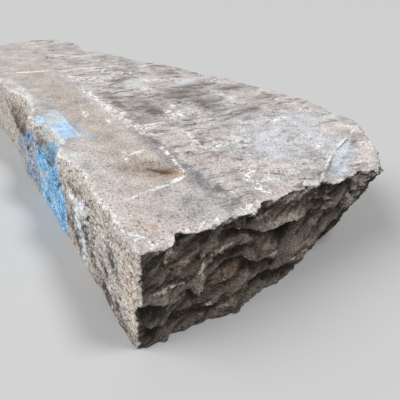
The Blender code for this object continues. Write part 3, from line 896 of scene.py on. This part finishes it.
def tread_wear(paint, cut, colour):
    """The tread's pale and dark zones, its smudges and stain, and the white scuffs over them."""
    tones = TREAD_TONES
    colour = paint.marked(colour, cut.wide, TREAD_PALE_ZONES, 1.0)
    colour = paint.marked(colour, cut.wide, TREAD_DARK_ZONES, 1.0, paint.step(cut.across, 0.18, 0.56))
    smudge = paint.both(paint.patch(cut.frayed, SMUDGE_BAND, 0.014), paint.step(cut.mottle, 0.30, 0.50))
    colour = paint.over(colour, tones.smudge, smudge, 0.55)
    colour = paint.marked(colour, cut.frayed, TREAD_MARKS, 0.8, paint.step(cut.mottle, 0.20, 0.45))
    # The painted shadow along the flake's edge.
    colour = paint.over(colour, tones.crevice_shade, paint.strokes(cut.ragged, FLAKE_CREVICE_SHADE, 0.6), 0.7)
    scuffs = paint.both(paint.strokes(cut.frayed, WHITE_SCUFFS, 0.7), paint.step(cut.crumbs, 0.492, 0.515))
    lines = paint.both(paint.strokes(cut.ragged, WHITE_LINES, 0.8), paint.step(cut.crumbs, 0.40, 0.45))
    return paint.over(colour, tones.scuffs, paint.either(scuffs, lines))


def tread_colour(paint):
    """The worn top with its scraps of paint, and where the widest scrap lies."""
    tones = TREAD_TONES
    cut = tread_noises(paint)
    colour = tread_wear(paint, cut, tread_stone(paint, cut))
    blue = paint.both(paint.patch(cut.ragged, TOP_PALE_BLUE, 0.004), paint.step(cut.mottle, 0.30, 0.38))
    colour = paint.over(colour, tones.pale_blue, blue)
    grey = paint.both(paint.patch(cut.ragged, TOP_GREY_PAINT, 0.004), paint.step(paint.grit, 0.15, 0.35))
    colour = paint.over(colour, tones.grey_paint, grey)
    streak = paint.both(paint.patch(cut.ragged, TOP_BLUE_STREAK, 0.006), paint.step(cut.crackle, 0.36, 0.52))
    return paint.over(colour, tones.blue_streak, streak, 0.85), blue


def riser_colour(paint):
    """The dressed front with its white drip and its worn blue paint, and where that paint lies."""
    tones = RISER_TONES
    ragged = paint.jittered(paint.face, 0.012, 0.012)
    fine = paint.jittered(paint.face, 0.006, 0.005)
    upright = paint.noise(paint.stretched(paint.face, (1.0, 0.35, 1.0)), 0.015, 5.0, 0.70, 0.5)
    speckle = paint.noise(paint.face, 0.008, 4.0, 0.80)

    colour = paint.over(rgb(*tones.pale), tones.dark, paint.step(paint.blotch, 0.35, 0.65))
    pale = paint.both(paint.patch(ragged, RISER_PALE_BLUE, 0.020), paint.step(upright, 0.40, 0.52))
    colour = paint.over(colour, tones.pale_blue, pale)
    colour = paint.marked(colour, ragged, RISER_MARKS, 0.8, paint.step(upright, 0.34, 0.50))
    colour = paint.over(colour, tones.dark_specks, paint.step(speckle, 0.46, 0.38), 0.85)
    colour = paint.over(colour, tones.light_specks, paint.step(speckle, 0.55, 0.62), 0.75)

    blue = paint.both(paint.patch(ragged, RISER_BLUE, 0.006), paint.step(upright, 0.32, 0.36))
    shades = paint.over(rgb(*tones.blue), tones.light_blue, paint.step(upright, 0.42, 0.56))
    shades = paint.over(shades, tones.worn_blue, paint.step(upright, 0.58, 0.64))
    colour = paint.mix(blue, colour, shades)
    return paint.marked(colour, fine, RISER_FINE_MARKS, 0.4), paint.either(blue, pale)


def broken_colour(paint, tilt):
    """The split ends and back: brown-grey, with dust and painted highlight where they face up, and painted
    shade on the near end, under ledges and where they face down.
    """
    tones = BROKEN_TONES
    frayed = paint.jittered(paint.end, 0.012, 0.010)
    ragged = paint.jittered(paint.end, 0.006, 0.005)
    # The near end is laid in darker tones than the other broken walls: painted shade.
    near = paint.step(paint.along, 0.180, 0.140)
    patches = paint.step(paint.layers, 0.35, 0.65)
    near_end_in_shade = paint.over(rgb(*tones.near_end_pale_in_shade), tones.near_end_dark_in_shade, patches)
    colour = paint.mix(near, paint.over(rgb(*tones.pale), tones.dark, patches), near_end_in_shade)
    colour = paint.over(colour, tones.rust, paint.step(paint.cloud, 0.45, 0.62), 0.35)
    # Darker towards the ground, over the lowest 5 cm: painted shade at the foot of the walls.
    colour = paint.over(colour, tones.foot, paint.step(paint.height, 0.050, 0.000), 0.75)
    # Painted shade and painted light on the near end, laid as marks.
    colour = paint.marked(colour, frayed, END_LIGHT_AND_SHADE_MARKS, 0.8, near)
    # Facets that face up are lightened towards the dust tone: dust on them, with painted highlight where
    # they face the light.
    dust = paint.mix(0.5, paint.mix(1.0, colour, DUST_AND_HIGHLIGHT_GAIN, "MULTIPLY"), rgb(*tones.dust))
    # Facets that face down are darkened: painted shade.
    colour = paint.over(colour, tones.facing_down_shade, paint.step(tilt, 0.05, -0.35), 0.85)
    colour = paint.mix(paint.both(paint.step(tilt, 0.12, 0.62), 0.85), colour, dust)
    # Darker where the near end is cut in under its ledges: painted shade.
    colour = paint.over(colour, tones.undercut, paint.step(paint.recess, 0.008, 0.026), 0.80)
    # Lighter on the ledges' lips, which stand out: painted highlight.
    colour = paint.over(colour, tones.lip_highlight, paint.step(paint.recess, -0.002, -0.009), 0.35)
    # Where the fine painted highlights show: on the near end, broken up by the layers' noise.
    fine_highlight_share = paint.both(near, paint.step(paint.layers, 0.36, 0.54))
    colour = paint.marked(colour, ragged, END_FINE_HIGHLIGHTS, 0.8, fine_highlight_share)
    return paint.over(colour, tones.edge, paint.step(paint.edge, 0.0003, 0.0022), 0.25)


def chip_colour(paint):
    """The floors of the chips along the tread's edge: brown and pitted."""
    colour = paint.over(rgb(*CHIP_TONES.pale), CHIP_TONES.dark, paint.step(paint.layers, 0.38, 0.60))
    return paint.over(colour, CHIP_TONES.pits, paint.step(paint.grit, 0.46, 0.36), 0.8)


def edges_and_pits(paint, colour):
    """The colour with the tread's edges rubbed pale and with a painted highlight where they face up, painted
    shade in its crevices, and its pits dark.
    """
    tones = RELIEF_TONES
    # The tread's rim where it faces up: worn pale, with a painted highlight.
    worn_rim_and_highlight = paint.both(paint.step(paint.edge, 0.0008, 0.0026), paint.step(paint.height, 0.160, 0.175),
                     paint.step(paint.upward, 0.10, 0.40))
    colour = paint.over(colour, tones.worn_rim_and_highlight, worn_rim_and_highlight, paint.step(paint.blotch, 0.40, 0.52), 0.8)
    # Darker in crevices, where the surface is hollow: painted shade.
    colour = paint.over(colour, tones.crevice_shade, paint.step(paint.edge, -0.0003, -0.0020), 0.6)
    return paint.over(colour, tones.pits, paint.pits, paint.blend(paint.dressed, 0.3, 0.6))


def shaded(paint, colour):
    """The colour made lighter and darker by the relief, the grit and the dust."""
    share = paint.blend(paint.is_tread, 1.0, TREAD_SHADE_SHARE)
    for value, depth in ((paint.relief, RELIEF_SHADE), (paint.grit, GRIT_SHADE), (paint.dust, DUST_SHADE)):
        low, high = (1.0 - depth,) * 3 + (1.0,), (1.0 + depth,) * 3 + (1.0,)
        shade = paint.mix(paint.step(value, 0.25, 0.75), low, high)
        colour = paint.mix(share, colour, shade, "MULTIPLY")
    return colour


def bumped(paint):
    """The surface's normal with its finest relief, which is lower on the worn tread."""
    lift = paint.math("ADD", paint.grit, paint.both(paint.dust, 0.4))
    lift = paint.math("SUBTRACT", lift, paint.both(paint.pits, 0.9))
    lift = paint.math("ADD", lift, paint.both(paint.relief, 2.0))
    height = paint.math("SUBTRACT", BUMP_HEIGHT, paint.both(paint.is_tread, TREAD_BUMP_LESS))
    return paint.put("ShaderNodeBump", Height=lift, Strength=1.0, Distance=height).outputs[0]


def stone_surface():
    """The whole stone's material: each face's colour, the chips, and the relief over them all."""
    paint = StonePaint()
    normal = bumped(paint)
    broken = broken_colour(paint, paint.put("ShaderNodeSeparateXYZ", i0=normal).outputs[2])
    tread, tread_paint = tread_colour(paint)
    riser, riser_paint = riser_colour(paint)
    colour = paint.mix(paint.is_tread, paint.mix(paint.is_riser, broken, riser), tread)
    painted_over = paint.both(riser_paint, paint.step(paint.height, 0.150, 0.130))
    bare = paint.both(paint.chip, paint.math("SUBTRACT", 1.0, painted_over))
    colour = shaded(paint, edges_and_pits(paint, paint.mix(bare, colour, chip_colour(paint))))
    painted = paint.either(paint.both(riser_paint, paint.is_riser), paint.both(tread_paint, paint.is_tread))
    roughness = paint.math("SUBTRACT", ROUGHNESS, paint.both(painted, PAINT_ROUGHNESS_LESS))
    return paint.finished({"Base Color": colour, "Normal": normal, "Roughness": roughness,
                           "Specular IOR Level": SPECULAR_LEVEL})


# The studio: a floor that is just clear of the stone, a pale sky, and soft suns, each given as
# (where it comes from, its spread in degrees, its strength).
FLOOR_REACH = 20.0
FLOOR_HEIGHT = -0.0005
FLOOR_COLOUR = (0.56, 0.56, 0.56, 1.0)
FLOOR_ROUGHNESS = 0.8
SKY_COLOUR = (0.95, 0.97, 1.0, 1.0)
SKY_STRENGTH = 0.25
SUNS = {
    "key": ((-0.45, -1.20, 1.35), 40.0, 2.0),
    "overhead": ((0.32, 0.35, 1.00), 15.0, 1.5),
}
# The camera: where it stands from the taped zero, which way it looks, and its lens.
CAMERA_PLACE = (0.3128, -0.1456, 0.4591)
CAMERA_AZIMUTH = math.radians(54.57)
CAMERA_PITCH = math.radians(30.98)
CAMERA_ROLL = math.radians(4.1)
CAMERA_LENS = 35.55


def add_floor():
    bm = bmesh.new()
    bmesh.ops.create_grid(bm, x_segments=1, y_segments=1, size=FLOOR_REACH)
    mesh = bpy.data.meshes.new("floor")
    bm.to_mesh(mesh)
    bm.free()
    floor = bpy.data.objects.new("floor", mesh)
    floor.location.z = FLOOR_HEIGHT
    surface = Paint("floor_pale").finished({"Base Color": FLOOR_COLOUR, "Roughness": FLOOR_ROUGHNESS})
    mesh.materials.append(surface)
    bpy.context.scene.collection.objects.link(floor)


def add_sun(name, source, spread, strength):
    """A soft light that comes evenly from one direction."""
    light = bpy.data.lights.new(name, "SUN")
    light.angle = math.radians(spread)
    light.energy = strength
    sun = bpy.data.objects.new(name, light)
    sun.rotation_euler = (-Vector(source)).to_track_quat("-Z", "Y").to_euler()
    bpy.context.scene.collection.objects.link(sun)


def add_sky():
    world = bpy.data.worlds.new("studio")
    world.use_nodes = True
    background = world.node_tree.nodes["Background"]
    background.inputs["Color"].default_value = SKY_COLOUR
    background.inputs["Strength"].default_value = SKY_STRENGTH
    bpy.context.scene.world = world


def add_camera():
    data = bpy.data.cameras.new("camera")
    data.lens = CAMERA_LENS
    camera = bpy.data.objects.new("camera", data)
    level = Matrix.Rotation(CAMERA_AZIMUTH, 4, "Z") @ Matrix.Rotation(math.pi / 2 - CAMERA_PITCH, 4, "X")
    place = Vector((CAMERA_PLACE[0] + TAPE_ZERO[0], CAMERA_PLACE[1] + TAPE_ZERO[1], CAMERA_PLACE[2]))
    camera.matrix_world = Matrix.Translation(place) @ level @ Matrix.Rotation(CAMERA_ROLL, 4, "Z")
    bpy.context.scene.collection.objects.link(camera)
    bpy.context.scene.camera = camera


stone = build_stone()
stone.data.materials.clear()
stone.data.materials.append(stone_surface())
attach(stone, "root")
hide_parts(NODE)
add_floor()
for sun, (source, spread, strength) in SUNS.items():
    add_sun(sun, source, spread, strength)
add_sky()
add_camera()
bpy.context.scene.view_settings.view_transform = "Standard"
